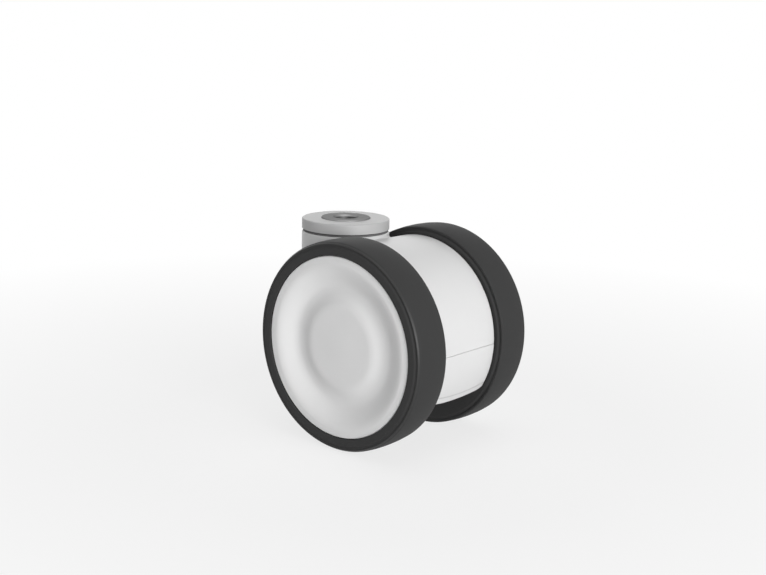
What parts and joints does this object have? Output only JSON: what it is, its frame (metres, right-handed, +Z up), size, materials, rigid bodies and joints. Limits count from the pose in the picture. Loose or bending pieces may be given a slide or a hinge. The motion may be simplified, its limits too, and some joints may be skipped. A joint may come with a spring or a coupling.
{
  "type": "twin-wheel swivel caster",
  "caption": "Twin-wheel swivel caster with a hooded housing, dished hub caps, soft treads and a bolt hole fitting through its steel stem.",
  "frame": {"origin": "centre of the steel stem's top face, on the swivel axis", "axes": "+Z up along the swivel axis, out of the mounting face; +X from the swivel axis towards the trailing axle; +Y along the axle, towards the right wheel"},
  "size_m": [0.0779, 0.062, 0.0773],
  "materials": {
    "housing_plastic": "light grey moulded nylon, fine satin",
    "hub_cap_plastic": "light grey moulded plastic, smooth satin",
    "tyre_rubber": "dark grey soft plastic tread, matt",
    "core_nylon": "dark moulded nylon",
    "zinc_plated_steel": "zinc plated, turned",
    "turned_steel": "turned bright steel",
    "spring_steel": "phosphated spring steel",
    "bearing_steel": "ground and polished steel",
    "shield_steel": "pressed steel",
    "cage_nylon": "natural moulded nylon"
  },
  "bodies": {
    "mount": {"swivel_stem": "zinc_plated_steel", "top_cap": "housing_plastic", "swivel_spacer": "turned_steel", "stem_washer": "turned_steel", "stem_circlip": "spring_steel", "upper_swivel_inner_ring": "bearing_steel", "lower_swivel_inner_ring": "bearing_steel"},
    "fork": {"housing": "housing_plastic", "front_cover": "housing_plastic", "axle": "turned_steel", "upper_swivel_outer_ring": "bearing_steel", "upper_swivel_shields": "shield_steel", "lower_swivel_outer_ring": "bearing_steel", "lower_swivel_shields": "shield_steel", "left_wheel_inner_ring": "bearing_steel", "right_wheel_inner_ring": "bearing_steel", "left_axle_spacer": "turned_steel", "right_axle_spacer": "turned_steel", "left_axle_circlip": "spring_steel", "right_axle_circlip": "spring_steel"},
    "left_wheel": {"left_tyre": "tyre_rubber", "left_wheel_core": "core_nylon", "left_hub_cap": "hub_cap_plastic", "left_wheel_outer_ring": "bearing_steel", "left_wheel_shields": "shield_steel"},
    "right_wheel": {"right_tyre": "tyre_rubber", "right_wheel_core": "core_nylon", "right_hub_cap": "hub_cap_plastic", "right_wheel_outer_ring": "bearing_steel", "right_wheel_shields": "shield_steel"},
    "upper_ball_set": {"upper_swivel_balls": "bearing_steel", "upper_swivel_cage": "cage_nylon"},
    "lower_ball_set": {"lower_swivel_balls": "bearing_steel", "lower_swivel_cage": "cage_nylon"},
    "left_ball_set": {"left_wheel_balls": "bearing_steel", "left_wheel_cage": "cage_nylon"},
    "right_ball_set": {"right_wheel_balls": "bearing_steel", "right_wheel_cage": "cage_nylon"}
  },
  "joints": [
    {"name": "swivel", "type": "hinge", "parent": "mount", "child": "fork", "pos_m": [0, 0, 0], "axis": [0, 0, 1], "continuous": true},
    {"name": "left_wheel_spin", "type": "hinge", "parent": "fork", "child": "left_wheel", "pos_m": [0.0243, 0, -0.0398], "axis": [0, 1, 0], "continuous": true},
    {"name": "right_wheel_spin", "type": "hinge", "parent": "fork", "child": "right_wheel", "pos_m": [0.0243, 0, -0.0398], "axis": [0, 1, 0], "continuous": true},
    {"name": "upper_ball_orbit", "type": "hinge", "parent": "mount", "child": "upper_ball_set", "pos_m": [0, 0, 0], "axis": [0, 0, 1], "continuous": true},
    {"name": "lower_ball_orbit", "type": "hinge", "parent": "mount", "child": "lower_ball_set", "pos_m": [0, 0, 0], "axis": [0, 0, 1], "continuous": true},
    {"name": "left_ball_orbit", "type": "hinge", "parent": "fork", "child": "left_ball_set", "pos_m": [0.0243, 0, -0.0398], "axis": [0, 1, 0], "continuous": true},
    {"name": "right_ball_orbit", "type": "hinge", "parent": "fork", "child": "right_ball_set", "pos_m": [0.0243, 0, -0.0398], "axis": [0, 1, 0], "continuous": true}
  ],
  "couplings": [
    {"joint": "upper_ball_orbit", "follows": "swivel", "ratio": 0.57778},
    {"joint": "lower_ball_orbit", "follows": "swivel", "ratio": 0.57778},
    {"joint": "left_ball_orbit", "follows": "left_wheel_spin", "ratio": 0.63233},
    {"joint": "right_ball_orbit", "follows": "right_wheel_spin", "ratio": 0.63233}
  ]
}
